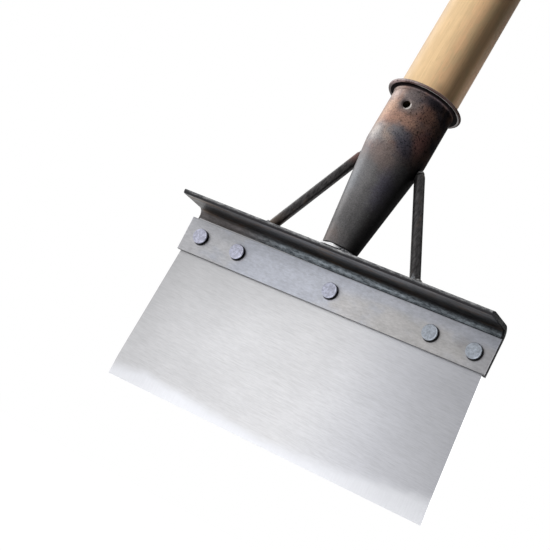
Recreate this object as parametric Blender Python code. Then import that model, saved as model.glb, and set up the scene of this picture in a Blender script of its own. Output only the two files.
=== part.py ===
"""Square scraping shovel: a flat blade riveted between a clamp strip and an angle bar,
with a braced conical socket welded on top of the bar and a round wooden handle driven into it.

Metres, +Z up. The origin is the middle of the cutting edge, +X runs along the edge to the
right as seen from the front, +Y points to the back and +Z up the blade towards the handle.
"""

import math

import bmesh
import bpy
from mathutils import Matrix, Vector

# Gaps between pieces that touch
SEAT_GAP = 0.0003
HOLE_CLEARANCE = 0.0003

# Blade
BLADE_THICKNESS = 0.0015
BLADE_HEIGHT = 0.1023
BLADE_TOP_WIDTH = 0.1940
BLADE_EDGE_WIDTH = 0.2072
EDGE_LAND = 0.0006
GRIND_HEIGHT = 0.0120

# Clamp strip
STRIP_LENGTH = 0.2000
STRIP_HEIGHT = 0.0205
STRIP_THICKNESS = 0.0020
STRIP_BELOW_BLADE_TOP = 0.0004
STRIP_SHIFT = 0.0003
STRIP_TILT = math.radians(0.35)

# Angle bar
ANGLE_LENGTH = 0.1980
ANGLE_LEG_HEIGHT = 0.0285
ANGLE_FLANGE_DEPTH = 0.0286
ANGLE_THICKNESS = 0.0025
BEND_INNER_RADIUS = 0.0040
BEND_ABOVE_BLADE = 0.0015
TOE_ROUNDING = 0.0006
TOE_UNDER_ROUNDING = 0.0013

# Rivets
RIVET_SHANK_DIAMETER = 0.0050
RIVET_HEAD_DIAMETER = 0.0089
RIVET_HEAD_HEIGHT = 0.0021
RIVET_TAIL_DIAMETER = 0.0084
RIVET_TAIL_HEIGHT = 0.0018
RIVET_EDGE_ROUNDING = 0.0004
RIVET_RISE = 0.0101
RIVET_ROW_SHIFT = 0.0008
RIVET_ROW_TILT = math.radians(-0.22)
OUTER_RIVET_SPACING = 0.1785
INNER_RIVET_SPACING = 0.1262

# Socket, measured along its own axis from the open lower end
SOCKET_LEAN = math.radians(7.0)
SOCKET_FROM_TOE = 0.0104
SOCKET_STAND_OFF = 0.0023
SOCKET_WALL = 0.0015
SOCKET_BASE_DIAMETER = 0.0203
SOCKET_TUBE_DIAMETER = 0.0361
SOCKET_CONE_LENGTH = 0.0632
SOCKET_LENGTH = 0.0976
RIM_DIAMETER = 0.0448
RIM_FILLET = 0.0020

# Screw hole in the front of the socket
SCREW_HOLE_DIAMETER = 0.0045
SCREW_HOLE_FROM_MOUTH = 0.0127
COUNTERSINK_DIAMETER = 0.0068
COUNTERSINK_DEPTH = 0.0007
PILOT_HOLE_DIAMETER = 0.0043
PILOT_HOLE_DEPTH = 0.0120

# Handle
HANDLE_LENGTH = 1.2000
HANDLE_DIAMETER = 0.0346
HANDLE_TIP_FROM_BASE = 0.0060
HANDLE_SHOULDER_RISE = 0.0008
HANDLE_BUTT_ROUNDING = 0.0080

# Braces
BRACE_DIAMETER = 0.0060
BRACE_FOOT_SPREAD = 0.0941
BRACE_FOOT_FROM_TOE = 0.0144
BRACE_HEAD_HEIGHT = 0.0588
BRACE_HEAD_TURN = math.radians(7)
BRACE_END_SHORT = 0.0020
BRACE_END_ROUNDING = 0.0020

# Weld beads
BASE_WELD_WIDTH = 0.0006
BASE_WELD_BORE = 0.0150
FOOT_WELD_LEG = 0.0012
FOOT_WELD_HEIGHT = 0.0022
FOOT_WELD_LIP = 0.0004
HEAD_WELD_DIAMETER = 0.0054
HEAD_WELD_SHORT = 0.0022

# Facets round a full turn
HANDLE_SEGMENTS = 64
SOCKET_SEGMENTS = 72
RIVET_SEGMENTS = 32
ROD_SEGMENTS = 24
ARC_STEPS = 6
RIVET_ARC_STEPS = 3

# How far a cutter runs past what it cuts, and how close two points count as one
CUTTER_OVERRUN = 0.0050
MERGE_DISTANCE = 0.000001

# Levels and faces that several pieces share
BLADE_BACK_Y = EDGE_LAND / 2
BLADE_FRONT_Y = BLADE_BACK_Y - BLADE_THICKNESS
STRIP_BACK_Y = BLADE_FRONT_Y - SEAT_GAP
STRIP_FRONT_Y = STRIP_BACK_Y - STRIP_THICKNESS
LEG_FRONT_Y = BLADE_BACK_Y + SEAT_GAP
LEG_BACK_Y = LEG_FRONT_Y + ANGLE_THICKNESS
TOE_Y = LEG_BACK_Y - ANGLE_FLANGE_DEPTH
STRIP_TOP_Z = BLADE_HEIGHT - STRIP_BELOW_BLADE_TOP
STRIP_BOTTOM_Z = STRIP_TOP_Z - STRIP_HEIGHT
STRIP_MIDDLE = Vector((STRIP_SHIFT, 0, (STRIP_TOP_Z + STRIP_BOTTOM_Z) / 2))
FLANGE_TOP_Z = BLADE_HEIGHT + BEND_ABOVE_BLADE + BEND_INNER_RADIUS + ANGLE_THICKNESS
LEG_BOTTOM_Z = FLANGE_TOP_Z - ANGLE_LEG_HEIGHT
RIVET_ROW_Z = STRIP_BOTTOM_Z + RIVET_RISE
RIVET_X = (
    RIVET_ROW_SHIFT - OUTER_RIVET_SPACING / 2,
    RIVET_ROW_SHIFT - INNER_RIVET_SPACING / 2,
    RIVET_ROW_SHIFT,
    RIVET_ROW_SHIFT + INNER_RIVET_SPACING / 2,
    RIVET_ROW_SHIFT + OUTER_RIVET_SPACING / 2,
)
SOCKET_BASE = Vector((0, TOE_Y + SOCKET_FROM_TOE, FLANGE_TOP_Z + SOCKET_STAND_OFF))
SOCKET_TURN = Matrix.Rotation(-SOCKET_LEAN, 4, "X")
SOCKET_FOOT_Z = FLANGE_TOP_Z + SOCKET_STAND_OFF
BRACE_FOOT_Y = TOE_Y + BRACE_FOOT_FROM_TOE
CONE_SLOPE = (SOCKET_TUBE_DIAMETER - SOCKET_BASE_DIAMETER) / 2 / SOCKET_CONE_LENGTH
BORE_RADIUS = SOCKET_TUBE_DIAMETER / 2 - SOCKET_WALL

# Colour, metallic and roughness of each finish
FINISHES = {
    "blade_steel": ((0.62, 0.62, 0.63), 1.0, 0.35),
    "strip_steel": ((0.42, 0.42, 0.43), 1.0, 0.45),
    "scaled_steel": ((0.09, 0.10, 0.11), 0.9, 0.50),
    "tinted_steel": ((0.20, 0.15, 0.14), 0.9, 0.45),
    "zinc": ((0.52, 0.52, 0.58), 1.0, 0.40),
    "weld_metal": ((0.45, 0.46, 0.47), 1.0, 0.45),
    "ash_wood": ((0.72, 0.54, 0.32), 0.0, 0.55),
}


def clear_scene():
    for old in list(bpy.data.objects):
        bpy.data.objects.remove(old, do_unlink=True)


def make_finish(name):
    colour, metallic, roughness = FINISHES[name]
    finish = bpy.data.materials.new(name)
    finish.use_nodes = True
    shader = finish.node_tree.nodes["Principled BSDF"]
    shader.inputs["Base Color"].default_value = (*colour, 1.0)
    shader.inputs["Metallic"].default_value = metallic
    shader.inputs["Roughness"].default_value = roughness
    finish.diffuse_color = (*colour, 1.0)
    return finish


def finish_named(name):
    return bpy.data.materials.get(name) or make_finish(name)


def add_mesh(name, shape, finish=None, place=None):
    """Turns a bmesh into a named object at a place given as a matrix."""
    bmesh.ops.recalc_face_normals(shape, faces=shape.faces)
    mesh = bpy.data.meshes.new(name)
    shape.to_mesh(mesh)
    shape.free()
    item = bpy.data.objects.new(name, mesh)
    bpy.context.scene.collection.objects.link(item)
    if place is not None:
        item.matrix_world = place
    if finish is not None:
        mesh.materials.append(finish_named(finish))
    return item


def smooth(item, angle=35):
    item.data.shade_smooth()
    item.data.set_sharp_from_angle(angle=math.radians(angle))


def make_cutter(item):
    item.hide_render = True
    item.display_type = "WIRE"
    return item


def cut(item, cutter):
    bite = item.modifiers.new("cut_" + cutter.name, "BOOLEAN")
    bite.operation = "DIFFERENCE"
    bite.solver = "EXACT"
    bite.object = cutter


def arc(centre_a, centre_b, radius, start, stop, steps=ARC_STEPS):
    """Points on an arc from start to stop, angles in degrees, both ends included."""
    points = []
    for step in range(steps + 1):
        angle = math.radians(start + (stop - start) * step / steps)
        points.append((centre_a + radius * math.cos(angle), centre_b + radius * math.sin(angle)))
    return points


def turned(profile, segments):
    """A solid turned about Z from a closed profile of (radius, height) points."""
    shape = bmesh.new()
    corners = [shape.verts.new((radius, 0, height)) for radius, height in profile]
    loop = [shape.edges.new((a, b)) for a, b in zip(corners, corners[1:] + corners[:1])]
    bmesh.ops.spin(
        shape,
        geom=corners + loop,
        cent=(0, 0, 0),
        axis=(0, 0, 1),
        angle=math.tau,
        steps=segments,
        use_merge=True,
    )
    bmesh.ops.remove_doubles(shape, verts=shape.verts, dist=MERGE_DISTANCE)
    bmesh.ops.dissolve_degenerate(shape, edges=shape.edges, dist=MERGE_DISTANCE)
    return shape


def extruded_along_x(profile, length):
    """A bar of a closed (y, z) profile, its middle at x = 0."""
    shape = bmesh.new()
    end = shape.faces.new([shape.verts.new((-length / 2, y, z)) for y, z in profile])
    grown = bmesh.ops.extrude_face_region(shape, geom=[end])
    moved = [part for part in grown["geom"] if isinstance(part, bmesh.types.BMVert)]
    bmesh.ops.translate(shape, verts=moved, vec=(length, 0, 0))
    return shape


def cylinder(diameter, length, segments):
    """A cylinder about Z that starts at the origin and runs up."""
    radius = diameter / 2
    return turned([(0, 0), (radius, 0), (radius, length), (0, length)], segments)


def along(start, direction):
    """The matrix that takes +Z to a direction and the origin to a start point."""
    return Matrix.Translation(start) @ direction.to_track_quat("Z", "Y").to_matrix().to_4x4()


def cone_radius(height):
    return SOCKET_BASE_DIAMETER / 2 + CONE_SLOPE * height


def socket_place():
    return Matrix.Translation(SOCKET_BASE) @ SOCKET_TURN


def rivet_start(x):
    """Where a rivet's axis meets the front of the strip: the row runs a little downhill."""
    return Vector((x, STRIP_FRONT_Y, RIVET_ROW_Z + (x - RIVET_ROW_SHIFT) * math.tan(RIVET_ROW_TILT)))


def make_rivet_hole_cutter():
    shape = bmesh.new()
    forward = Vector((0, 1, 0))
    for x in RIVET_X:
        hole = cylinder(
            RIVET_SHANK_DIAMETER + 2 * HOLE_CLEARANCE,
            LEG_BACK_Y - STRIP_FRONT_Y + 2 * CUTTER_OVERRUN,
            RIVET_SEGMENTS,
        )
        hole.transform(along(rivet_start(x) - forward * CUTTER_OVERRUN, forward))
        mesh = bpy.data.meshes.new("rivet_hole")
        hole.to_mesh(mesh)
        hole.free()
        shape.from_mesh(mesh)
        bpy.data.meshes.remove(mesh)
    return make_cutter(add_mesh("rivet_hole_cutter", shape))


def make_flange_cutter():
    """A block up to the top of the flange, with the gap that a piece on it keeps."""
    reach = ANGLE_FLANGE_DEPTH + CUTTER_OVERRUN
    top = FLANGE_TOP_Z + SEAT_GAP
    bottom = top - ANGLE_LEG_HEIGHT
    sides = (LEG_BACK_Y - reach, LEG_BACK_Y + CUTTER_OVERRUN)
    profile = [(sides[0], bottom), (sides[1], bottom), (sides[1], top), (sides[0], top)]
    return make_cutter(add_mesh("flange_cutter", extruded_along_x(profile, ANGLE_LENGTH)))


def make_level_cutter(name, bottom, top):
    """A block across the socket's lower end between two levels."""
    reach = SOCKET_TUBE_DIAMETER / 2 + CUTTER_OVERRUN
    sides = (SOCKET_BASE.y - reach, SOCKET_BASE.y + reach)
    profile = [(sides[0], bottom), (sides[1], bottom), (sides[1], top), (sides[0], top)]
    return make_cutter(add_mesh(name, extruded_along_x(profile, 2 * reach)))


def make_socket_cutter():
    """The socket's outside as a solid cone and tube, grown by the gap that a piece on it keeps."""
    slant = math.hypot(1, CONE_SLOPE)
    low = -SEAT_GAP
    profile = [
        (0, low),
        (cone_radius(low) + SEAT_GAP * slant, low),
        (SOCKET_TUBE_DIAMETER / 2 + SEAT_GAP, SOCKET_CONE_LENGTH),
        (SOCKET_TUBE_DIAMETER / 2 + SEAT_GAP, SOCKET_LENGTH),
        (0, SOCKET_LENGTH),
    ]
    item = add_mesh("socket_cutter", turned(profile, SOCKET_SEGMENTS), place=socket_place())
    return make_cutter(item)


def make_blade(hole_cutter):
    """A tapered sheet whose front is ground down to a narrow land along the cutting edge."""
    profile = [
        (BLADE_BACK_Y, 0),
        (BLADE_BACK_Y, BLADE_HEIGHT),
        (BLADE_FRONT_Y, BLADE_HEIGHT),
        (BLADE_FRONT_Y, GRIND_HEIGHT),
        (BLADE_BACK_Y - EDGE_LAND, 0),
    ]
    shape = extruded_along_x(profile, BLADE_EDGE_WIDTH)
    for corner in shape.verts:
        share = corner.co.z / BLADE_HEIGHT
        width = BLADE_EDGE_WIDTH + (BLADE_TOP_WIDTH - BLADE_EDGE_WIDTH) * share
        corner.co.x *= width / BLADE_EDGE_WIDTH
    blade = add_mesh("blade", shape, "blade_steel")
    cut(blade, hole_cutter)
    return blade


def make_clamp_strip(hole_cutter):
    """A flat bar that sits a little aslant on the blade."""
    half = STRIP_HEIGHT / 2
    profile = [(STRIP_BACK_Y, -half), (STRIP_BACK_Y, half), (STRIP_FRONT_Y, half), (STRIP_FRONT_Y, -half)]
    place = Matrix.Translation(STRIP_MIDDLE) @ Matrix.Rotation(-STRIP_TILT, 4, "Y")
    strip = add_mesh("clamp_strip", extruded_along_x(profile, STRIP_LENGTH), "strip_steel", place)
    cut(strip, hole_cutter)
    return strip


def make_angle_bar(hole_cutter):
    """An L section: the leg hangs behind the blade and the flange reaches over the strip."""
    flange_bottom = FLANGE_TOP_Z - ANGLE_THICKNESS
    outer = BEND_INNER_RADIUS + ANGLE_THICKNESS
    bend_y = LEG_FRONT_Y - BEND_INNER_RADIUS
    bend_z = flange_bottom - BEND_INNER_RADIUS
    under = TOE_UNDER_ROUNDING
    profile = [(LEG_BACK_Y, LEG_BOTTOM_Z)]
    profile += arc(bend_y, bend_z, outer, 0, 90)
    profile += arc(TOE_Y + TOE_ROUNDING, FLANGE_TOP_Z - TOE_ROUNDING, TOE_ROUNDING, 90, 180)
    profile += arc(TOE_Y + under, flange_bottom + under, under, 180, 270)
    profile += arc(bend_y, bend_z, BEND_INNER_RADIUS, 90, 0)
    profile.append((LEG_FRONT_Y, LEG_BOTTOM_Z))
    bar = add_mesh("angle_bar", extruded_along_x(profile, ANGLE_LENGTH), "scaled_steel")
    smooth(bar)
    cut(bar, hole_cutter)
    return bar


def make_rivets():
    """Each rivet is one turned solid: flat head in front, shank, and upset tail behind."""
    head_z = -RIVET_HEAD_HEIGHT - SEAT_GAP
    tail_z = LEG_BACK_Y - STRIP_FRONT_Y + SEAT_GAP
    head, tail, shank = RIVET_HEAD_DIAMETER / 2, RIVET_TAIL_DIAMETER / 2, RIVET_SHANK_DIAMETER / 2
    edge = RIVET_EDGE_ROUNDING
    profile = [(0, head_z)]
    profile += arc(head - edge, head_z + edge, edge, -90, 0, RIVET_ARC_STEPS)
    profile += [(head, -SEAT_GAP), (shank, -SEAT_GAP), (shank, tail_z), (tail, tail_z)]
    profile += arc(tail - edge, tail_z + RIVET_TAIL_HEIGHT - edge, edge, 0, 90, RIVET_ARC_STEPS)
    profile.append((0, tail_z + RIVET_TAIL_HEIGHT))
    rivets = []
    for number, x in enumerate(RIVET_X, 1):
        place = along(rivet_start(x), Vector((0, 1, 0)))
        rivet = add_mesh(f"rivet_{number}", turned(profile, RIVET_SEGMENTS), "zinc", place)
        smooth(rivet)
        rivets.append(rivet)
    return rivets


def make_screw_hole_cutter(name, diameter, inner, sink=0.0):
    """A drill through the front of the socket, from its outside in to a radius, with a countersink."""
    tube = SOCKET_TUBE_DIAMETER / 2
    drill = diameter / 2
    profile = [(0, inner), (drill, inner)]
    if sink:
        profile += [(drill, tube - COUNTERSINK_DEPTH), (sink / 2, tube)]
        profile += [(sink / 2, tube + CUTTER_OVERRUN)]
    else:
        profile += [(drill, tube + CUTTER_OVERRUN)]
    profile.append((0, tube + CUTTER_OVERRUN))
    level = Vector((0, 0, SOCKET_LENGTH - SCREW_HOLE_FROM_MOUTH))
    place = socket_place() @ along(level, Vector((0, -1, 0)))
    return make_cutter(add_mesh(name, turned(profile, ROD_SEGMENTS), place=place))


def make_socket():
    """A pressed steel socket: a cone cut off level, a short tube and a mouth turned out into a rim."""
    tube = SOCKET_TUBE_DIAMETER / 2
    rim = RIM_DIAMETER / 2
    slanted_wall = SOCKET_WALL * math.hypot(1, CONE_SLOPE)
    turn_radius = RIM_FILLET + SOCKET_WALL
    turn_level = SOCKET_LENGTH - turn_radius
    turn_centre = tube + RIM_FILLET
    lip = SOCKET_WALL / 2
    low = -SOCKET_BASE_DIAMETER * math.tan(SOCKET_LEAN)
    profile = [(cone_radius(low) - slanted_wall, low), (cone_radius(low), low)]
    profile.append((tube, SOCKET_CONE_LENGTH))
    profile += arc(turn_centre, turn_level, RIM_FILLET, 180, 90)
    profile += arc(rim - lip, SOCKET_LENGTH - lip, lip, -90, 90)
    profile += arc(turn_centre, turn_level, turn_radius, 90, 180)
    profile.append((BORE_RADIUS, SOCKET_CONE_LENGTH))
    socket = add_mesh("socket", turned(profile, SOCKET_SEGMENTS), "tinted_steel", socket_place())
    smooth(socket)
    cutter = make_screw_hole_cutter(
        "socket_hole_cutter",
        SCREW_HOLE_DIAMETER,
        BORE_RADIUS - CUTTER_OVERRUN,
        COUNTERSINK_DIAMETER,
    )
    cut(socket, cutter)
    foot_cutter = make_level_cutter("foot_cutter", SOCKET_FOOT_Z - SOCKET_CONE_LENGTH, SOCKET_FOOT_Z)
    cut(socket, foot_cutter)
    return socket


def make_handle():
    """A round handle whose end is turned down to fill the socket's tube and cone."""
    slanted_wall = (SOCKET_WALL + SEAT_GAP) * math.hypot(1, CONE_SLOPE)
    spigot = BORE_RADIUS - SEAT_GAP
    radius = HANDLE_DIAMETER / 2
    tip = HANDLE_TIP_FROM_BASE
    top = tip + HANDLE_LENGTH
    turn_level = SOCKET_LENGTH - RIM_FILLET - SOCKET_WALL
    profile = [
        (0, tip),
        (cone_radius(tip) - slanted_wall, tip),
        (spigot, SOCKET_CONE_LENGTH),
        (spigot, turn_level + HANDLE_SHOULDER_RISE),
        (radius, SOCKET_LENGTH + SEAT_GAP),
    ]
    profile += arc(radius - HANDLE_BUTT_ROUNDING, top - HANDLE_BUTT_ROUNDING, HANDLE_BUTT_ROUNDING, 0, 90)
    profile.append((0, top))
    handle = add_mesh("handle", turned(profile, HANDLE_SEGMENTS), "ash_wood", socket_place())
    smooth(handle)
    cutter = make_screw_hole_cutter(
        "pilot_hole_cutter", PILOT_HOLE_DIAMETER, BORE_RADIUS - PILOT_HOLE_DEPTH
    )
    cut(handle, cutter)
    return handle


def brace_line(side):
    """Where a brace's centre line leaves the flange and where it meets the socket's side."""
    foot = Vector((side * BRACE_FOOT_SPREAD / 2, BRACE_FOOT_Y, FLANGE_TOP_Z))
    radius = cone_radius(BRACE_HEAD_HEIGHT)
    across = side * radius * math.cos(BRACE_HEAD_TURN)
    head = socket_place() @ Vector((across, radius * math.sin(BRACE_HEAD_TURN), BRACE_HEAD_HEIGHT))
    return foot, head


def brace_rod(name, side, grown, finish=None):
    """A brace's rod, rounded where it stops at the socket and grown all round by a gap."""
    foot, head = brace_line(side)
    direction = (head - foot).normalized()
    start = foot - direction * (CUTTER_OVERRUN + grown)
    end = (head - start).length - BRACE_END_SHORT + grown
    radius = BRACE_DIAMETER / 2 + grown
    edge = BRACE_END_ROUNDING + grown
    profile = [(0, 0), (radius, 0)]
    profile += arc(radius - edge, end - edge, edge, 0, 90)
    profile.append((0, end))
    return add_mesh(name, turned(profile, ROD_SEGMENTS), finish, along(start, direction))


def make_brace(side, word, flange_cutter, socket_cutter):
    brace = brace_rod(f"brace_{word}", side, 0, "scaled_steel")
    smooth(brace)
    cut(brace, flange_cutter)
    cut(brace, socket_cutter)
    return brace


def make_foot_weld(side, word):
    """A bead round the foot of a brace: wide on the flange and narrow where it ends on the rod."""
    foot, head = brace_line(side)
    rod = BRACE_DIAMETER / 2 + SEAT_GAP
    profile = [
        (0, -CUTTER_OVERRUN),
        (rod + FOOT_WELD_LEG, -CUTTER_OVERRUN),
        (rod + FOOT_WELD_LEG, 0),
        (rod + (FOOT_WELD_LEG + FOOT_WELD_LIP) / 2, FOOT_WELD_HEIGHT / 2),
        (rod + FOOT_WELD_LIP, FOOT_WELD_HEIGHT),
        (0, FOOT_WELD_HEIGHT),
    ]
    place = along(foot, head - foot)
    return add_mesh(f"brace_{word}_foot_weld", turned(profile, ROD_SEGMENTS), "weld_metal", place)


def make_head_weld(side, word):
    """A blob that fills the corner between the rounded end of a brace and the socket's side."""
    foot, head = brace_line(side)
    centre = head - (head - foot).normalized() * HEAD_WELD_SHORT
    profile = arc(0, 0, HEAD_WELD_DIAMETER / 2, -90, 90, 2 * ARC_STEPS)
    place = along(centre, head - foot)
    return add_mesh(f"brace_{word}_head_weld", turned(profile, ROD_SEGMENTS), "weld_metal", place)


def make_brace_welds(side, word, flange_cutter, socket_cutter):
    rod_cutter = make_cutter(brace_rod(f"rod_cutter_{word}", side, SEAT_GAP))
    foot_weld = make_foot_weld(side, word)
    cut(foot_weld, flange_cutter)
    head_weld = make_head_weld(side, word)
    cut(head_weld, socket_cutter)
    for weld in (foot_weld, head_weld):
        smooth(weld)
        cut(weld, rod_cutter)
    return foot_weld, head_weld


def make_socket_weld(flange_cutter):
    """The ring of weld metal that fills the slit between the socket's lower end and the flange."""
    outer = SOCKET_BASE_DIAMETER / 2 + BASE_WELD_WIDTH
    inner = BASE_WELD_BORE / 2
    reach = SOCKET_STAND_OFF + CUTTER_OVERRUN
    profile = [(inner, -reach), (outer, -reach), (outer, CUTTER_OVERRUN), (inner, CUTTER_OVERRUN)]
    weld = add_mesh("socket_weld", turned(profile, SOCKET_SEGMENTS), "weld_metal", socket_place())
    smooth(weld)
    cut(weld, flange_cutter)
    top = SOCKET_FOOT_Z - SEAT_GAP
    cut(weld, make_level_cutter("weld_top_cutter", top, top + SOCKET_CONE_LENGTH))
    return weld


def carry(parent_name, pieces):
    """Hangs pieces on a named empty, leaving each where it is."""
    parent = bpy.data.objects.new(parent_name, None)
    parent.empty_display_size = CUTTER_OVERRUN
    bpy.context.scene.collection.objects.link(parent)
    for piece in pieces:
        piece.parent = parent
        piece.matrix_parent_inverse = Matrix.Identity(4)
    return parent


def main():
    clear_scene()
    hole_cutter = make_rivet_hole_cutter()
    flange_cutter = make_flange_cutter()
    socket_cutter = make_socket_cutter()
    pieces = [make_blade(hole_cutter), make_clamp_strip(hole_cutter), make_angle_bar(hole_cutter)]
    pieces += make_rivets()
    pieces += [make_socket(), make_handle(), make_socket_weld(flange_cutter)]
    for side, word in ((-1, "left"), (1, "right")):
        pieces.append(make_brace(side, word, flange_cutter, socket_cutter))
        pieces += make_brace_welds(side, word, flange_cutter, socket_cutter)
    carry("shovel", pieces)


main()
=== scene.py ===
"""Square scraping shovel: finishes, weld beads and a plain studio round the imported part.

Everything is in metres in the part's own frame: the origin is the middle of the cutting edge,
+X runs along the edge to the right as seen from the front, +Y to the back and +Z up.
"""

import math

import bmesh
import bpy
from bpy.props import FloatProperty, FloatVectorProperty, IntProperty, PointerProperty
from mathutils import Matrix, Vector, noise


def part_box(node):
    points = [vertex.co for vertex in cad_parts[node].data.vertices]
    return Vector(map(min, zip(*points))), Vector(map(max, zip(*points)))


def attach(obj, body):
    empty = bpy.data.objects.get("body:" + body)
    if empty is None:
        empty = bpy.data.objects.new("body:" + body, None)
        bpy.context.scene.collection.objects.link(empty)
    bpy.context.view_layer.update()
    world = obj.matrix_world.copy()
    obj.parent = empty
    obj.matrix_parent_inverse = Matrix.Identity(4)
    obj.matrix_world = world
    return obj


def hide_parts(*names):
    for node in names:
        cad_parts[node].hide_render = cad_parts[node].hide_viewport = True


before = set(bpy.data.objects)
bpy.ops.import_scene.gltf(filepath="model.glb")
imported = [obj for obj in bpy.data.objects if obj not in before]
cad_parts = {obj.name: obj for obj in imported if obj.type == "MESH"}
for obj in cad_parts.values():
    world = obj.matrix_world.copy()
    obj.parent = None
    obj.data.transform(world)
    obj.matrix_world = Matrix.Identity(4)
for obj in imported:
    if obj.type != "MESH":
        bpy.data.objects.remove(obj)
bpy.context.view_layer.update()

bl_info = {
    "name": "Square Shovel",
    "version": (1, 0, 0),
    "blender": (4, 5, 0),
    "location": "3D View > Sidebar > Shovel",
    "description": "Dresses a square scraping shovel and sets it in a plain studio",
    "category": "Object",
}

# Levels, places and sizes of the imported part
STRIP_LOW, STRIP_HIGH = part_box("clamp_strip")
BLADE_LOW, BLADE_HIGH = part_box("blade")
BLADE_TOP_HALF = 0.0970
BAR_LOW, BAR_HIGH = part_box("angle_bar")
FLANGE_TOP = BAR_HIGH.z
TOE_Y = BAR_LOW.y
BRACE_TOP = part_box("brace_left")[1].z
RIVETS = sorted(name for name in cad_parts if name.startswith("rivet_"))
RIVET_SPOTS = [(sum(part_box(name), Vector()) / 2).xz for name in RIVETS]
RIVET_HEAD_HEIGHT = 0.0021
RIVET_HEAD_RADIUS = 0.00445

# The clamp strip sits a little aslant: its upper edge at the middle, and its rise to the right
STRIP_HEIGHT = 0.0205
STRIP_SLOPE = math.tan(math.radians(0.35))
STRIP_TOP = STRIP_HIGH.z - STRIP_SLOPE * STRIP_HIGH.x
STRIP_MIDDLE = (STRIP_LOW.x + STRIP_HIGH.x) / 2
STRIP_HALF = (STRIP_HIGH.x - STRIP_LOW.x) / 2

# The socket: its lean and the place of its foot, the cone's radius and slope, the tube and the rim
SOCKET_LEAN = math.radians(7.0)
SOCKET_SETBACK = 0.0104
SOCKET_FOOT_GAP = 0.0023
SOCKET_FOOT = Vector((0, TOE_Y + SOCKET_SETBACK, FLANGE_TOP + SOCKET_FOOT_GAP))
SOCKET_PLACE = Matrix.Translation(SOCKET_FOOT) @ Matrix.Rotation(-SOCKET_LEAN, 4, "X")
SOCKET_FOOT_RADIUS = 0.01015
SOCKET_SLOPE = 0.125
SOCKET_LENGTH = 0.0976
TUBE_RADIUS = 0.01805
RIM_RADIUS = 0.0224
HOLE_LEVEL = SOCKET_LENGTH - 0.0127

# The photograph's camera
EYE = Vector((0.351388, -0.687943, -0.026721))
CAMERA_RIGHT = Vector((0.806733, 0.378554, 0.453738))
CAMERA_UP = Vector((-0.336390, -0.337088, 0.879325))
CAMERA_BACK = Vector((0.485822, -0.862014, -0.144598))
CAMERA_LENS = 94.262
SENSOR = 36.0

WHITE = (1.0, 1.0, 1.0)


def colour_of(name, description, default):
    """A colour that the user can change."""
    return FloatVectorProperty(
        name=name, description=description, subtype="COLOR", min=0.0, max=1.0, default=default
    )


def length_of(name, description, default):
    """A length that the user can change."""
    return FloatProperty(
        name=name, description=description, subtype="DISTANCE", unit="LENGTH", default=default
    )


def power_of(name, description, default):
    """A lamp's power that the user can change."""
    return FloatProperty(name=name, description=description, unit="POWER", default=default)


class BladeSettings(bpy.types.PropertyGroup):
    colour: colour_of("Sheet", "Colour of the stainless sheet", (0.60, 0.60, 0.615))
    # Painted light: the pale band along the cutting edge, its colour and its height
    pale_band_colour: colour_of(
        "Ground Edge", "Colour of the freshly ground band along the cutting edge", (0.81, 0.82, 0.86)
    )
    pale_band_height: length_of(
        "Ground Band", "Height of the freshly ground band above the cutting edge", 0.0020
    )
    cool_tint: colour_of("Cool Tint", "Tint of the sheet's right part", (0.955, 0.965, 1.0))
    grain_length: length_of("Grain Length", "Usual length of a brushed streak", 0.010)
    grain_width: length_of("Grain Width", "Usual width of a brushed streak", 0.0005)


class SteelSettings(bpy.types.PropertyGroup):
    strip_colour: colour_of("Clamp Strip", "Colour of the clamp strip", (0.50, 0.50, 0.52))
    bar_colour: colour_of(
        "Angle Bar", "Colour of the scaled steel of the angle bar", (0.078, 0.077, 0.079)
    )
    brace_colour: colour_of("Braces", "Colour of the scaled steel of the braces", (0.060, 0.057, 0.058))
    rivet_colour: colour_of("Rivets", "Colour of the plated rivets", (0.49, 0.50, 0.605))
    worn_plating: colour_of(
        "Worn Plating", "Colour of the plating on the two rivets on the right", (0.44, 0.48, 0.54)
    )
    plate_bevel: length_of("Edge Wear", "Width of the angle bar's worn corners", 0.00022)


class SocketSettings(bpy.types.PropertyGroup):
    satin: colour_of(
        "Satin Steel", "Colour of the socket's cone where the heat left it grey", (0.165, 0.160, 0.162)
    )
    copper: colour_of(
        "Copper Tint", "Colour of the band that the heat left coppery", (0.27, 0.165, 0.130)
    )
    violet: colour_of(
        "Violet Tint", "Colour of the patches that the heat left blue and purple", (0.085, 0.075, 0.090)
    )


class HandleSettings(bpy.types.PropertyGroup):
    colour: colour_of(
        "Wood", "Colour of the pale wood between its growth rings", (0.81, 0.575, 0.325)
    )
    grain_colour: colour_of("Grain", "Colour of the darker growth rings", (0.66, 0.455, 0.25))
    ring_width: length_of("Ring Width", "Distance between two growth rings", 0.0028)


class WeldSettings(bpy.types.PropertyGroup):
    colour: colour_of("Weld Metal", "Colour of the bare weld beads", (0.78, 0.78, 0.79))
    ripple: length_of("Ripple", "Distance between two ripples of a bead", 0.0019)
    seed: IntProperty(
        name="Seed", description="Number that the unevenness of the beads starts from", default=7
    )


class StageSettings(bpy.types.PropertyGroup):
    floor_drop: length_of("Floor Depth", "How far the floor lies below the cutting edge", 0.30)
    fill: FloatProperty(
        name="Fill", description="Strength of the even light that comes from all round", default=0.35
    )
    key_power: power_of("Key Light", "Power of the large soft lamp on the left", 47.0)
    window_power: power_of(
        "Window Light", "Power of the paler lamp on the far left, which the metal shows as a sheen", 14.0
    )
    rim_power: power_of(
        "Rim Light", "Power of the weak lamp behind on the right, which lifts the handle's far edge", 11.0
    )
    card_colour: colour_of(
        "Dark Card", "Colour of the card out of view that darkens the right side", (0.03, 0.03, 0.032)
    )


class ShovelSettings(bpy.types.PropertyGroup):
    blade: PointerProperty(type=BladeSettings)
    steel: PointerProperty(type=SteelSettings)
    socket: PointerProperty(type=SocketSettings)
    handle: PointerProperty(type=HandleSettings)
    weld: PointerProperty(type=WeldSettings)
    stage: PointerProperty(type=StageSettings)


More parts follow.
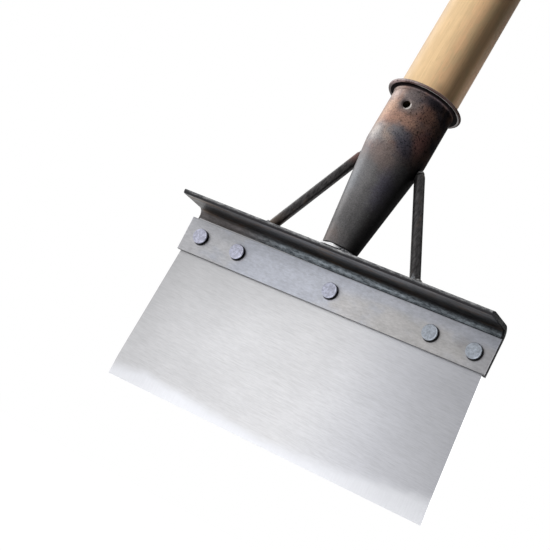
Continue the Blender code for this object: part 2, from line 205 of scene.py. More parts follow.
def feed(tree, socket, value):
    """Gives a node's input a number, a colour, a pattern or another node's output."""
    if isinstance(value, Pattern):
        value = value.socket
    if isinstance(value, bpy.types.NodeSocket):
        tree.links.new(value, socket)
    elif socket.type == "RGBA":
        socket.default_value = (*value[:3], 1.0)
    else:
        socket.default_value = value


def add_node(tree, kind, inputs=None, **settings):
    """Adds a node, with its inputs by name or by number."""
    made = tree.nodes.new(kind)
    for name, value in settings.items():
        setattr(made, name, value)
    for name, value in (inputs or {}).items():
        feed(tree, made.inputs[name], value)
    return made


class Pattern:
    """A number, a colour or a point that varies over a surface, as a shader node gives it out.

    Patterns add, subtract, multiply and divide like numbers, and first | second is the larger one.
    """

    def __init__(self, tree, socket):
        self.tree = tree
        self.socket = socket

    def node(self, kind, inputs, output=0, **settings):
        """What a new node in the same tree gives out."""
        return Pattern(self.tree, add_node(self.tree, kind, inputs, **settings).outputs[output])

    def maths(self, operation, *others):
        return self.node("ShaderNodeMath", dict(enumerate((self, *others))), operation=operation)

    def __add__(self, other):
        return self.maths("ADD", other)

    def __sub__(self, other):
        return self.maths("SUBTRACT", other)

    def __rsub__(self, other):
        return self.node("ShaderNodeMath", {0: other, 1: self}, operation="SUBTRACT")

    def __mul__(self, other):
        return self.maths("MULTIPLY", other)

    def __truediv__(self, other):
        return self.maths("DIVIDE", other)

    def __or__(self, other):
        return self.maths("MAXIMUM", other)

    def __abs__(self):
        return self.maths("ABSOLUTE")

    def spread(self, low, high, out_low=0.0, out_high=1.0, smooth=True):
        """Maps a number from one range to another, held at the ends."""
        inputs = {"Value": self, "From Min": low, "From Max": high, "To Min": out_low, "To Max": out_high}
        kind = "SMOOTHSTEP" if smooth else "LINEAR"
        return self.node("ShaderNodeMapRange", inputs, interpolation_type=kind)

    def fade(self, low, high):
        """1 below the low end of a range and 0 above its high end."""
        return self.spread(low, high, 1.0, 0.0)

    def swing(self, out_low=0.0, out_high=1.0, reach=0.2):
        """Maps a grain, which varies round 0.5, to a range. The reach is how far round 0.5 it is used."""
        return self.spread(0.5 - reach, 0.5 + reach, out_low, out_high)

    def graded(self, stops):
        """A factor that runs through stops, each a place and the factor there."""
        total = stops[0][1]
        for (start, first), (stop, second) in zip(stops, stops[1:]):
            total = self.spread(start, stop, 0.0, second - first, smooth=False) + total
        return total

    def mix(self, first, second):
        """The first colour where this mask is 0 and the second where it is 1."""
        return self.node("ShaderNodeMix", {0: self, 6: first, 7: second}, 2, data_type="RGBA")

    def tinted(self, tint, mask=1.0):
        """This colour, multiplied by a tint where the mask is 1."""
        inputs = {0: mask, 6: self, 7: tint}
        return self.node("ShaderNodeMix", inputs, 2, data_type="RGBA", blend_type="MULTIPLY")

    def brightened(self, *factors):
        """This colour times factors that are patterns themselves."""
        tone = self
        for factor in factors:
            tone = self.node("ShaderNodeVectorMath", {0: tone, "Scale": factor}, operation="SCALE")
        return tone

    def parts(self):
        """The X, Y and Z parts of a point."""
        split = add_node(self.tree, "ShaderNodeSeparateXYZ", {"Vector": self})
        return [Pattern(self.tree, part) for part in split.outputs]

    def grain(self, sizes, detail=3.0, roughness=0.55, turn=(0, 0, 0)):
        """Noise at a point. Its marks have one size, or three sizes along the turned axes."""
        if isinstance(sizes, float):
            sizes = (sizes, sizes, sizes)
        inputs = {"Vector": self, "Rotation": turn, "Scale": sizes}
        stretched = self.node("ShaderNodeMapping", inputs, vector_type="TEXTURE")
        inputs = {"Vector": stretched, "Scale": 1.0, "Detail": detail, "Roughness": roughness}
        return self.node("ShaderNodeTexNoise", inputs, "Fac")


class Finish:
    """A material while it is made, round its Principled shader."""

    def __init__(self, name, metallic, roughness=0.5):
        self.material = bpy.data.materials.new(name)
        self.material.use_nodes = True
        self.tree = self.material.node_tree
        self.shader = self.tree.nodes["Principled BSDF"]
        self.set("Metallic", metallic)
        self.set("Roughness", roughness)

    def point(self):
        """The place on the surface, in the part's frame."""
        return Pattern(self.tree, add_node(self.tree, "ShaderNodeTexCoord").outputs["Object"])

    def set(self, name, value):
        feed(self.tree, self.shader.inputs[name], value)

    def bump(self, height, strength, distance):
        inputs = {"Height": height, "Strength": strength, "Distance": distance}
        self.set("Normal", height.node("ShaderNodeBump", inputs))


def shade(colour, factor):
    return tuple(min(1.0, part * factor) for part in colour[:3])


def grained(mask, colour, low, high):
    """A colour that varies with a mask, between two factors of its brightness."""
    return mask.mix(shade(colour, low), shade(colour, high))


def distance(across, up):
    return (across * across + up * up).maths("SQRT")


def round_spot(across, up, centre, radius, soft):
    """1 inside a circle on a flat face and 0 outside it."""
    away = distance(across - centre[0], up - centre[1])
    return away.fade(radius - soft, radius + soft)


# Painted reflection: how much brighter the sheet is painted from its left to its right end: place in m and
# factor
BLADE_PAINTED_SHEEN = (
    (-0.100, 0.93),
    (-0.075, 1.08),
    (-0.035, 1.20),
    (0.005, 1.25),
    (0.028, 1.22),
    (0.050, 1.10),
    (0.080, 0.89),
    (0.100, 0.79),
)

# How much higher than its least height the painted pale band reaches: place and extra height in m
PALE_BAND_REACH = (
    (-0.103, 0.0038),
    (-0.082, 0.0072),
    (-0.055, 0.0050),
    (0.000, 0.0015),
    (0.040, 0.0034),
    (0.062, 0.0064),
    (0.075, 0.0080),
    (0.088, 0.0098),
    (0.103, 0.0115),
)

# Half the height over which the painted pale band fades, and how far its border wavers and frays
BAND_SOFTNESS = 0.0035
BAND_WAVER = 0.004
BAND_FRAY = 0.0016

SHEARED_SIDE = (0.93, 0.93, 0.94)
BRIGHT_ROUGHNESS = 0.08


def brushed_sheet_finish(settings):
    """Brushed stainless sheet with a painted sheen and a paler band of painted light along its lower edge."""
    finish = Finish("brushed_blade", 1.0)
    point = finish.point()
    x, _, z = point.parts()
    tilt = (0, math.radians(3), 0)
    strokes = point.grain((settings.grain_length, 0.004, settings.grain_width), 4.0, 0.6, tilt)
    hairs = point.grain((0.004, 0.002, 0.00022), 2.0, 0.5, tilt)
    dabs = point.grain((0.0035, 0.003, 0.0009), 4.0, 0.6, tilt)
    cloud = point.grain((0.05, 0.05, 0.03))
    tone = grained(strokes.swing(reach=0.17), settings.colour, 0.93, 1.05)
    tone = hairs.swing(0.0, 0.5, 0.15).mix(tone, shade(settings.colour, 1.10))
    # Painted reflection: besides the grain, these factors paint the sheet brighter in the middle and darker
    # towards its top, its upper left and its right end
    tone = tone.brightened(
        dabs.swing(0.975, 1.025),
        (x - 0.009 + z * 0.20).graded(BLADE_PAINTED_SHEEN),
        (z - x * 0.6).spread(0.06, 0.17, 1.0, 0.80),
        z.spread(0.045, 0.080, 1.02, 0.925),
        cloud.swing(0.96, 1.04),
    )
    tone = tone.tinted(settings.cool_tint, x.spread(0.0, 0.07))
    ragged = point.grain((0.012, 0.02, 0.006))
    teeth = point.grain((0.0009, 0.004, 0.008), 3.0, 0.6)
    level = z - x.graded(PALE_BAND_REACH) + (ragged - 0.5) * BAND_WAVER + (teeth - 0.5) * BAND_FRAY
    band = level.fade(settings.pale_band_height - BAND_SOFTNESS, settings.pale_band_height + BAND_SOFTNESS)
    # Painted light: the pale band's colour, brightest in the middle and darker towards both ends
    ground = grained(teeth.swing(), settings.pale_band_colour, 0.98, 1.02)
    ground = ground.brightened(x.spread(0.02, 0.10, 1.06, 0.92), x.spread(-0.100, -0.05, 0.85, 1.0))
    tone = band.mix(tone, ground)
    taper = (BLADE_HIGH.x - BLADE_TOP_HALF) / (BLADE_HIGH.z - BLADE_LOW.z)
    side = (abs(x) + z * taper).spread(BLADE_HIGH.x - 0.00010, BLADE_HIGH.x - 0.00004)
    finish.set("Base Color", side.mix(tone, SHEARED_SIDE))
    finish.set("Roughness", strokes.swing(0.31, 0.40) * (1.0 - side) | BRIGHT_ROUGHNESS)
    finish.bump(strokes + hairs + dabs, 0.10, 0.00006)
    return finish.material


# Painted reflection: how much brighter the clamp strip is painted from its left to its right end: place in m
# and factor
STRIP_PAINTED_SHEEN = (
    (-0.100, 0.92),
    (-0.075, 1.00),
    (-0.030, 1.12),
    (0.010, 1.18),
    (0.050, 1.00),
    (0.080, 0.90),
    (0.100, 0.74),
)

# Tints of the strip's steel by place, the near black of the painted shadow round the rivets, and the painted
# shade of its lower face and its ends
BLUE_TINT = (0.95, 0.985, 1.055)
WARM_TINT = (1.0, 0.98, 0.94)
OILY_TINT = (0.66, 0.63, 0.58)
NEAR_BLACK = (0.03, 0.03, 0.032)
SHADED_LOWER_FACE = (0.15, 0.15, 0.155)
SHADED_END = (0.02, 0.02, 0.022)


def satin_strip_finish(settings):
    """Satin flat bar, bluish on the left and warmer on the right, with a painted sheen, painted shadow round
    the rivets, a painted highlight on its end corners and painted shade on its lower face, top edge and ends.
    """
    finish = Finish("satin_strip", 1.0)
    point = finish.point()
    x, y, z = point.parts()
    level = z - x * STRIP_SLOPE - STRIP_TOP
    fine = point.grain((0.0022, 0.0022, 0.0008), 5.0, 0.65)
    patch = point.grain((0.020, 0.02, 0.010), 4.0, 0.6)
    rubs = point.grain((0.009, 0.01, 0.004), 3.0, 0.6)
    steel = grained(fine.swing(), settings.strip_colour, 0.88, 1.12)
    wavering = x - 0.06 + patch * 0.12
    upper = (level + patch * 0.012).spread(-0.0045, 0.0015) * wavering.spread(-0.070, -0.040, 0.2, 1.0)
    bluish = wavering.spread(-0.075, -0.045) * wavering.fade(-0.01, 0.03)
    browned = wavering.spread(0.00, 0.04) * wavering.spread(0.065, 0.095, 1.0, 0.15)
    browned = browned * (1.0 - upper * 0.8)
    tone = browned.mix(steel.tinted(BLUE_TINT, bluish | upper), steel.tinted(WARM_TINT))
    # Painted reflection and shade: the strip is painted brighter in the middle, a little darker towards its
    # upper edge, with a painted shade line along its top edge; the other factor varies at random
    tone = tone.brightened(
        x.graded(STRIP_PAINTED_SHEEN),
        rubs.spread(0.35, 0.68, 1.04, 0.93),
        (level - abs(x + 0.060) * 0.10).spread(-0.0105, -0.0045, 1.0, 0.90),
        level.spread(-0.0007, -0.0001, 1.0, 0.75),
    )
    last = RIVET_SPOTS[-1]
    smudge = round_spot(x, z, last + Vector((-0.0075, 0.001)), 0.0045, 0.0035)
    tone = tone.tinted(OILY_TINT, smudge * 0.45)
    # Painted shadow: a near-black ring round each rivet head, shifted to the lower right
    for spot in RIVET_SPOTS:
        painted_shadow = round_spot(x, z, spot + Vector((0.0003, -0.0003)), RIVET_HEAD_RADIUS + 0.00025, 0.0003)
        tone = (painted_shadow * 0.93).mix(tone, NEAR_BLACK)
    # Painted highlight along the strip's end corners, and painted shade on its end faces
    corner = abs(x - STRIP_MIDDLE).spread(STRIP_HALF - 0.0004, STRIP_HALF - 0.00025)
    tone = tone.brightened(corner.spread(0.0, 1.0, 1.0, 1.45))
    # Painted shade: the strip's lower face is painted dark
    below = level.fade(0.0001 - STRIP_HEIGHT, 0.0003 - STRIP_HEIGHT)
    tone = below.mix(tone, SHADED_LOWER_FACE)
    behind = y.spread(STRIP_LOW.y + 0.00018, STRIP_LOW.y + 0.00030)
    finish.set("Base Color", (corner * behind).mix(tone, SHADED_END))
    finish.set("Roughness", fine.swing(0.38, 0.50))
    finish.bump(fine, 0.20, 0.00012)
    return finish.material


# Painted light and shade: how bright the flange's underside, its bend and the leg are painted from left to
# right: place in m and factor, and at the bend the factor less 1
UNDERSIDE_SHADING = ((-0.099, 0.75), (-0.060, 0.90), (-0.020, 1.10), (0.020, 1.40), (0.055, 1.20), (0.090, 1.0))
BEND_SHADING = ((-0.090, 1.0), (-0.050, 0.8), (-0.015, 0.0), (0.015, -0.25), (0.050, 0.0), (0.080, 0.3))
LEG_SHADING = ((-0.090, 0.80), (-0.050, 0.95), (-0.020, 1.18), (0.015, 1.18), (0.050, 0.95), (0.090, 0.88))

# Colours of the bar, in pairs from the dark to the bright marks of its grain where two belong together
BROWN_SCALE = (0.090, 0.066, 0.050)
RUBBED_AND_LIT_TOE = ((0.060, 0.062, 0.067), (0.27, 0.27, 0.275))
TOE_SHADE_LINE = (0.027, 0.026, 0.028)
BLUE_LEG = ((0.056, 0.066, 0.076), (0.270, 0.305, 0.335))
BROWN_LEG = ((0.095, 0.088, 0.088), (0.170, 0.155, 0.155))
STRIP_GAP_SHADOW = (0.015, 0.017, 0.02)


def scaled_bar_finish(settings):
    """Rolling scale on the angle bar: dark blue-grey and browner in spots, with painted light and shade along
    it, a worn toe with a painted highlight, and painted shade and shadow at the toe, above the strip and at
    the right end.
    """
    finish = Finish("scaled_bar", 0.85)
    point = finish.point()
    x, y, z = point.parts()
    depth = y - TOE_Y
    above = z - FLANGE_TOP
    fine = point.grain((0.0030, 0.0010, 0.0010), 5.0, 0.7)
    streaks = point.grain((0.030, 0.0016, 0.0016), 4.0, 0.6)
    patch = point.grain((0.018, 0.006, 0.006), 4.0, 0.6)
    tone = grained(fine.swing(), settings.bar_colour, 0.72, 1.3)
    tone = patch.spread(0.48, 0.64, 0.0, 0.85).mix(tone, BROWN_SCALE)
    # Painted light and shade: the underside is painted brighter towards the toe and by its place along the
    # bar; the streaks vary at random
    tone = tone.brightened(
        depth.spread(0.0015, 0.0150, 2.3, 1.0),
        streaks.swing(0.72, 1.30, 0.15),
        x.graded(UNDERSIDE_SHADING),
    )
    # The toe's worn colour, with a painted highlight that brightens it towards its top edge and its middle
    worn_and_lit_toe = fine.swing(reach=0.15).mix(*RUBBED_AND_LIT_TOE).brightened(
        above.spread(-0.0017, -0.0004, 0.50, 1.40),
        abs(x).spread(0.005, 0.035, 1.20, 0.95),
    )
    tone = depth.fade(0.0003, 0.0007).mix(tone, worn_and_lit_toe)
    # Painted shade: a dark line along the lower rounding of the toe
    tone = (above.fade(-0.0017, -0.0012) * depth.fade(0.0009, 0.0014)).mix(tone, TOE_SHADE_LINE)
    # Painted light and shade at the bend and on the leg, by their place along the bar
    bend = y.spread(-0.0070, -0.0035) * y.fade(-0.0012, 0.0)
    tone = tone.brightened(bend * x.graded(BEND_SHADING) + 1.0)
    leg = x.spread(-0.075, -0.035).mix(fine.swing().mix(*BROWN_LEG), fine.swing().mix(*BLUE_LEG))
    leg = leg.brightened(streaks.swing(0.88, 1.12, 0.15), x.graded(LEG_SHADING))
    tone = y.spread(-0.0012, 0.0001).mix(tone, leg)
    # Painted shadow: a dark line on the leg's front just above the strip
    gap_shadow = (z - x * STRIP_SLOPE - STRIP_TOP).spread(0.0010, 0.0014, 0.88, 0.0) * y.fade(0.0008, 0.0016)
    tone = gap_shadow.mix(tone, STRIP_GAP_SHADOW)
    tip = (x - BAR_LOW.x).fade(0.0015, 0.0040) * depth.fade(0.002, 0.004)
    tone = (tip * 0.85).mix(tone, NEAR_BLACK)
    # Painted shade on the bar's right end face
    finish.set("Base Color", (x - BAR_HIGH.x).spread(-0.0014, -0.0010).mix(tone, SHADED_END))
    finish.set("Roughness", patch.swing(0.36, 0.52))
    finish.bump(fine, 0.25, 0.00015)
    return finish.material


ROD_BROWN = (0.115, 0.085, 0.065)
ROD_RED = (0.150, 0.085, 0.075)
ROD_SPATTER = (0.36, 0.39, 0.42)


def scaled_rod_finish(settings):
    """Dark scaled rod, streaked along its length, browner at its foot or red at its head."""
    finish = Finish("scaled_rod", 0.75)
    point = finish.point()
    x, _, z = point.parts()
    above = z - FLANGE_TOP
    fine = point.grain((0.0012, 0.0012, 0.0045), 5.0, 0.65)
    patch = point.grain((0.006, 0.006, 0.012), 3.0, 0.6)
    tone = grained(fine.swing(), settings.brace_colour, 0.38, 1.35)
    tone = patch.spread(0.55, 0.72, 0.0, 0.7).mix(tone, ROD_BROWN)
    spatter = above.fade(0.0, 0.006) * fine.spread(0.50, 0.62) * x.spread(-0.01, 0.01)
    tone = spatter.mix(tone, ROD_SPATTER)
    left_foot = above.fade(0.0, 0.014) * x.fade(-0.01, 0.01)
    tone = (left_foot * 0.7).mix(tone, ROD_BROWN)
    left_head = (z - BRACE_TOP).spread(-0.010, -0.003) * x.fade(-0.012, -0.008)
    finish.set("Base Color", (left_head * 0.8).mix(tone, ROD_RED))
    finish.set("Roughness", patch.swing(0.32, 0.46))
    finish.bump(fine, 0.30, 0.00015)
    return finish.material


RIVET_SIDE_SHADE = (0.014, 0.014, 0.016)


def plated_rivet_finish(settings):
    """Zinc plating with fine scratches and hammer dents, with a painted sheen, a painted highlight ring on
    each head and painted shade down its sides.
    """
    finish = Finish("plated_rivet", 1.0)
    point = finish.point()
    x, y, z = point.parts()
    dents = point.grain(0.0020, 3.0, 0.6)
    marks = point.grain(0.0009, 3.0, 0.6)
    scratches = point.grain((0.0005, 0.0005, 0.0035), 3.0, 0.6, (0, math.radians(40), 0))
    tone = x.spread(-0.02, 0.06).mix(settings.rivet_colour, settings.worn_plating)
    # Painted reflection: besides the dents and scratches, the last factor paints the rivets brighter towards
    # the middle
    tone = tone.brightened(
        dents.swing(0.78, 1.14, 0.16),
        marks.swing(0.86, 1.10, 0.16),
        scratches.spread(0.58, 0.70, 1.0, 1.30),
        scratches.spread(0.30, 0.40, 0.78, 1.0),
        abs(x + 0.03).spread(0.0, 0.12, 1.08, 0.92),
    )
    # Painted highlight: a brighter ring round the right side of each head
    for spot in RIVET_SPOTS:
        inner = round_spot(x, z, spot, RIVET_HEAD_RADIUS - 0.0006, 0.00012)
        outer = round_spot(x, z, spot, RIVET_HEAD_RADIUS + 0.00155, 0.0001)
        lit = (x - spot.x).spread(0.001, 0.004, 0.0, 0.45)
        tone = tone.brightened((outer - inner) * lit + 1.0)
    # Painted shade: the side walls of the heads are painted near black
    behind_face = y - (STRIP_LOW.y - RIVET_HEAD_HEIGHT)
    side = behind_face.spread(0.00035, 0.0006) * y.fade(-0.001, 0.0)
    finish.set("Base Color", side.mix(tone, RIVET_SIDE_SHADE))
    finish.set("Roughness", dents.swing(0.34, 0.50))
    finish.bump(dents + marks * 0.5, 0.60, 0.00034)
    return finish.material


# Patches that the forge's heat left on the socket, and one painted sheen: turn from the front in degrees,
# height in mm, half widths in degrees and mm, tilt in mm per degree, colour and strength
HEAT_PATCHES = (
    (-60, 3, 75, 6, 0.0, (0.26, 0.19, 0.165), 0.40),
    (-34, 38, 30, 10, 0.0, (0.155, 0.170, 0.190), 0.5),
    (12, 54, 36, 9, -0.10, (0.235, 0.185, 0.170), 0.80),
    (44, 36, 22, 13, 0.0, (0.150, 0.140, 0.190), 0.7),
    (-50, 80, 40, 13, 0.0, (0.42, 0.275, 0.200), 0.95),
    (8, 76, 46, 5, 0.04, (0.38, 0.230, 0.175), 0.95),
    # Painted sheen: the next patch, a pale grey high on the left
    (-30, 65, 34, 7, -0.03, (0.40, 0.375, 0.36), 0.80),
    (-4, 66, 16, 5, -0.06, (0.32, 0.255, 0.220), 0.70),
    (17, 67, 24, 5, -0.12, (0.180, 0.178, 0.192), 0.90),
    (36, 63, 22, 7, -0.12, (0.085, 0.080, 0.105), 0.90),
    (36, 84, 30, 6, 0.0, (0.27, 0.150, 0.115), 0.9),
    (62, 70, 16, 9, 0.0, (0.230, 0.115, 0.105), 0.85),
    (46, 92, 26, 3, 0.0, (0.045, 0.040, 0.050), 0.9),
    (8, 86, 24, 6, 0.0, (0.215, 0.175, 0.165), 0.95),
    (2, 92, 20, 5, 0.0, (0.180, 0.155, 0.155), 0.85),
    (-40, 92, 24, 6, 0.0, (0.45, 0.35, 0.31), 0.85),
)

# Painted light and shade: how bright the skin is painted by its turn from the front in degrees, near black at
# the right
TURN_SHADING = (
    (-180, 0.50),
    (-62, 0.72),
    (-45, 0.92),
    (-15, 0.92),
    (15, 0.86),
    (28, 1.02),
    (42, 0.96),
    (53, 0.66),
    (65, 0.44),
    (77, 0.20),
    (90, 0.16),
    (120, 0.16),
    (180, 0.50),
)

# Painted highlight and shade round the screw hole's dent
HOLE_PAINTED_HALO = (0.40, 0.33, 0.31)
HOLE_GLINT = (0.80, 0.76, 0.72)
HOLE_SHADE = (0.075, 0.062, 0.066)

# Colours of the rim, in pairs from its left to its right side where two belong together; the lip is painted
# lighter on the left, and its ends and underside are painted shade
RIM_UNDERSIDE_SHADE = (0.016, 0.012, 0.013)
DARK_LIP = (0.12, 0.08, 0.08)
LIT_AND_SHADED_LIP = ((0.42, 0.31, 0.30), (0.110, 0.060, 0.050))
LIP_END_SHADE = (0.030, 0.023, 0.021)
CREST_WEAR_AND_HIGHLIGHT = ((0.42, 0.36, 0.35), (0.15, 0.09, 0.08))
RIM_TOP = ((0.10, 0.09, 0.09), (0.26, 0.20, 0.18))
PAINTED_HIGHLIGHT_LINE = (0.90, 0.88, 0.86)
DIMMED_REFLECTION = (0.05, 0.05, 0.05)


def socket_frame(point):
    """A point about the socket's own axis: its place, its turn from the front in degrees and its height."""
    inputs = {"Vector": point, "Location": SOCKET_FOOT, "Rotation": (-SOCKET_LEAN, 0, 0)}
    local = point.node("ShaderNodeMapping", inputs, vector_type="TEXTURE")
    x, y, height = local.parts()
    turn = x.maths("ARCTAN2", y * -1.0).maths("DEGREES")
    return local, turn, height


def front_side(turn):
    """1 on the side that faces the front, fading to 0 before the back, where the turn jumps."""
    return abs(turn).fade(110, 165)


def patch_mask(turn, height, centre, reach, tilt, ragged):
    """1 inside an oval on the socket's skin, fading out raggedly at its border.

    The centre and the reach are in degrees and metres, and the tilt is in metres per degree.
    """
    beside = turn - centre[0]
    level = height - centre[1] - beside * tilt
    return (distance(beside / reach[0], level / reach[1]) + ragged).fade(0.25, 1.40)


def heat_colours(settings, turn, height, cloud, ragged):
    """The colours of the socket's skin: grey below, copper and violet above, with patches on both, painted
    darker by turn towards the right, darker at the foot and low on the left, and brighter high on the right.
    """
    clouded = cloud.swing(reach=0.15)
    lower = grained(clouded, settings.satin, 0.9, 1.1)
    upper = clouded.mix(settings.copper, settings.violet)
    tone = (height + ragged * 0.006).spread(0.046, 0.066).mix(lower, upper)
    for turn_at, level, turn_reach, level_reach, tilt, colour, strength in HEAT_PATCHES:
        centre = (turn_at, level / 1000)
        reach = (turn_reach, level_reach / 1000)
        mask = patch_mask(turn, height, centre, reach, tilt / 1000, ragged)
        tone = (mask * strength).mix(tone, colour)
    low_left = height.spread(0.015, 0.034, 0.24, 0.0) * turn.fade(-45.84, -20.05)
    high_right = height.spread(0.058, 0.068, 0.0, 0.75) * turn.spread(41.83, 56.15)
    return tone.brightened(
        turn.graded(TURN_SHADING),
        height.spread(0.012, 0.028, 0.78, 1.0),
        1.0 - low_left,
        high_right * turn.fade(108.86, 160.43) + 1.0,
    )


def hole_tones(tone, turn, height):
    """The skin round the screw hole: a painted pale halo and a painted glint on the lower right, and a
    painted shaded left side.
    """
    beside = turn * (math.radians(1) * TUBE_RADIUS)
    above = height - HOLE_LEVEL
    halo = round_spot(beside, above, (0.0010, -0.0009), 0.0030, 0.0012)
    tone = (halo * 0.30).mix(tone, HOLE_PAINTED_HALO)
    glint_spot = round_spot(beside, above, (0.0009, -0.0008), 0.0024, 0.0003)
    shaded = round_spot(beside, above, (-0.0003, 0.0004), 0.0026, 0.0003)
    tone = (glint_spot * (1.0 - shaded) * 0.9).mix(tone, HOLE_GLINT)
    dark_side = round_spot(beside, above, (-0.0016, 0.0002), 0.0026, 0.0012)
    return (dark_side * 0.7).mix(tone, HOLE_SHADE)


def rim_tones(tone, local, turn, height, mottle):
    """The flared rim's colours laid over the skin, with masks of its bare steel and painted highlight lines,
    and of its painted-shade underside.
    """
    across, forward, _ = local.parts()
    outward = distance(across, forward) - RIM_RADIUS
    above = height - SOCKET_LENGTH
    under_rim = above.spread(-0.0027, -0.0021)
    brim = outward.spread(-0.0019, -0.0016)
    lip = above.spread(-0.0014, -0.0010) | (under_rim * brim)
    front = front_side(turn)
    rightward = (turn + mottle * 28.65).spread(5, 45) * front
    ends = turn.spread(-70, -42, 0.9, 0.0) | turn.spread(58, 82, 0.0, 0.8)
    # The lip's outer crest: wear and a painted highlight, brighter on the left
    worn = outward.spread(-0.00045, -0.00015, 0.0, 0.7) * mottle.spread(0.35, 0.6, 0.35, 1.0)
    worn = worn * (1.0 - ends) * lip
    top = (above + mottle * 0.0003).spread(-0.00045, -0.0002)
    # Painted highlight: a thin near-white line under the brim, on the front
    highlight_line = outward.fade(-0.0011, -0.0008) * brim * under_rim * front
    highlight_line = highlight_line * turn.spread(-5, 15) * turn.spread(50, 85, 1.0, 0.30)
    # Painted light and shade: the lip is painted brighter on the left than on the right, and near black
    # towards its ends
    lip_tone = mottle.spread(0.36, 0.60).mix(DARK_LIP, rightward.mix(*LIT_AND_SHADED_LIP))
    # Painted shade: the rim's underside is painted near black
    tone = under_rim.mix(tone, RIM_UNDERSIDE_SHADE)
    tone = lip.mix(tone, ends.mix(lip_tone, LIP_END_SHADE))
    tone = worn.mix(tone, rightward.mix(*CREST_WEAR_AND_HIGHLIGHT))
    tone = top.mix(tone, rightward.mix(*RIM_TOP))
    tone = highlight_line.mix(tone, PAINTED_HIGHLIGHT_LINE)
    return tone, top | highlight_line | worn, under_rim - lip


def heat_tint_finish(settings):
    """Bare steel socket with the colours that the forge's heat left on it, and painted light and shade by
    turn, round the hole and on the rim.
    """
    finish = Finish("heat_tinted_socket", 0.92)
    point = finish.point()
    local, turn, height = socket_frame(point)
    fine = point.grain(0.0010, 5.0, 0.7)
    cloud = point.grain(0.010, 5.0, 0.62)
    mottle = point.grain(0.0028, 4.0, 0.65)
    dust = point.grain(0.00055, 4.0, 0.7)
    ragged = cloud * 1.3 - 1.2 + mottle * 1.1
    speckled = (height + ragged * 0.008).spread(0.050, 0.064)
    burnt = speckled * turn.spread(-10, 35, 0.4, 1.0)
    pits = (fine + mottle * 0.35).spread(0.52, 0.68, 0.30, 1.14)
    tone = heat_colours(settings, turn, height, cloud, ragged).brightened(
        burnt * (pits - 1.0) + 1.0,
        fine.swing(0.88, 1.12, 0.17),
        dust.swing(0.80, 1.22, 0.14),
    )
    tone = hole_tones(tone, turn, height)
    tone, bare, flare = rim_tones(tone, local, turn, height, mottle)
    # Painted shade: the reflection is dimmed on the right side and under the rim; the rim's lines are made
    # less metallic so that they catch the lamps
    dimmed_right = turn.spread(60, 85, 0.0, 0.55)
    finish.set("Specular Tint", (flare | dimmed_right).mix(WHITE, DIMMED_REFLECTION))
    finish.set("Metallic", bare.spread(0.0, 0.8, 0.92, 0.25))
    finish.set("Base Color", tone)
    finish.set("Roughness", fine.swing(0.34, 0.50))
    finish.bump(fine * speckled.spread(0.0, 1.0, 0.3, 1.0), 0.40, 0.00022)
    return finish.material


# Painted light and shade: how pale the wood is painted by its turn from the front in degrees, browner on the
# right
WOOD_SHADING = (
    (-180, 1.0),
    (-85, 0.77),
    (-45, 0.77),
    (-25, 0.92),
    (-5, 1.01),
    (6, 1.11),
    (17, 1.09),
    (30, 1.15),
    (42, 1.01),
    (50, 0.83),
    (60, 0.53),
    (72, 0.63),
    (84, 1.05),
    (95, 1.22),
    (110, 1.22),
    (180, 1.0),
)

EDGE_REFLECTION_TINT = (0.97, 1.0, 1.18)
ROSY_WOOD_TINT = (1.03, 0.94, 0.93)
MOUTH_DARK_PATCH = (0.33, 0.20, 0.115)
SHADE_INSIDE_SOCKET = (0.02, 0.012, 0.008)


def wood_finish(settings):
    """Smooth pale handle wood with fine straight grain along the handle, painted lighter and darker by its
    turn, with a painted reflection tint at its sides and painted shade inside the socket.
    """
    finish = Finish("pale_handle_wood", 0.0, 0.42)
    local, turn, height = socket_frame(finish.point())
    x, y, _ = local.parts()
    wander = local.grain((0.030, 0.030, 0.35), 2.0)
    fibres = local.grain((0.0006, 0.0006, 0.030), 4.0, 0.6)
    pores = local.grain((0.0004, 0.0004, 0.006), 2.0, 0.5)
    blotch = local.grain((0.005, 0.005, 0.014), 3.0, 0.6)
    width = settings.ring_width
    across = wander * 0.022 + (y * 0.45 + x)
    ring = across.maths("PINGPONG", width).spread(width * 0.55, width)
    tone = (ring * 0.28).mix(settings.colour, settings.grain_colour)
    tone = fibres.spread(0.40, 0.70, 0.0, 0.45).mix(tone, shade(settings.grain_colour, 0.95))
    tone = pores.spread(0.62, 0.74, 0.0, 0.35).mix(tone, shade(settings.grain_colour, 0.6))
    front = front_side(turn)
    # Painted reflection: a cool tint on the handle's left and right sides
    edges = (turn.spread(-75, -20, 0.7, 0.0) | turn.spread(72, 96)) * front
    rosy = turn.spread(0, 35) * blotch.swing(0.3, 1.3, 0.12) * front
    tone = tone.tinted(EDGE_REFLECTION_TINT, edges).tinted(ROSY_WOOD_TINT, rosy)
    # Painted shade: the right side is painted darker above the socket, fading out higher up
    aloft = height.spread(0.105, 0.168) * height.fade(0.18, 0.40) * turn.spread(60, 82) * front
    tone = tone.brightened(
        turn.graded(WOOD_SHADING),
        blotch.swing(0.965, 1.035, 0.12),
        1.0 - aloft * 0.5,
    )
    # A darker brown patch on the right front just above the socket's mouth
    above = height - SOCKET_LENGTH
    mouth_patch = patch_mask(turn, above, (38, 0.004), (30, 0.008), 0.0, wander)
    tone = (mouth_patch * 0.45).mix(tone, MOUTH_DARK_PATCH)
    # Painted shade: the wood inside the socket is painted near black
    inside = above.fade(-0.0012, -0.0002)
    finish.set("Base Color", (inside * 0.97).mix(tone, SHADE_INSIDE_SOCKET))
    finish.set("Specular IOR Level", 0.35)
    finish.bump(fibres, 0.12, 0.00012)
    return finish.material


# Colours of the beads, from the dark to the bright marks of their grain
SHADED_WELD_SIDE = ((0.05, 0.052, 0.058), (0.36, 0.36, 0.38))
SCALED_WELD = ((0.05, 0.05, 0.052), (0.13, 0.125, 0.125))


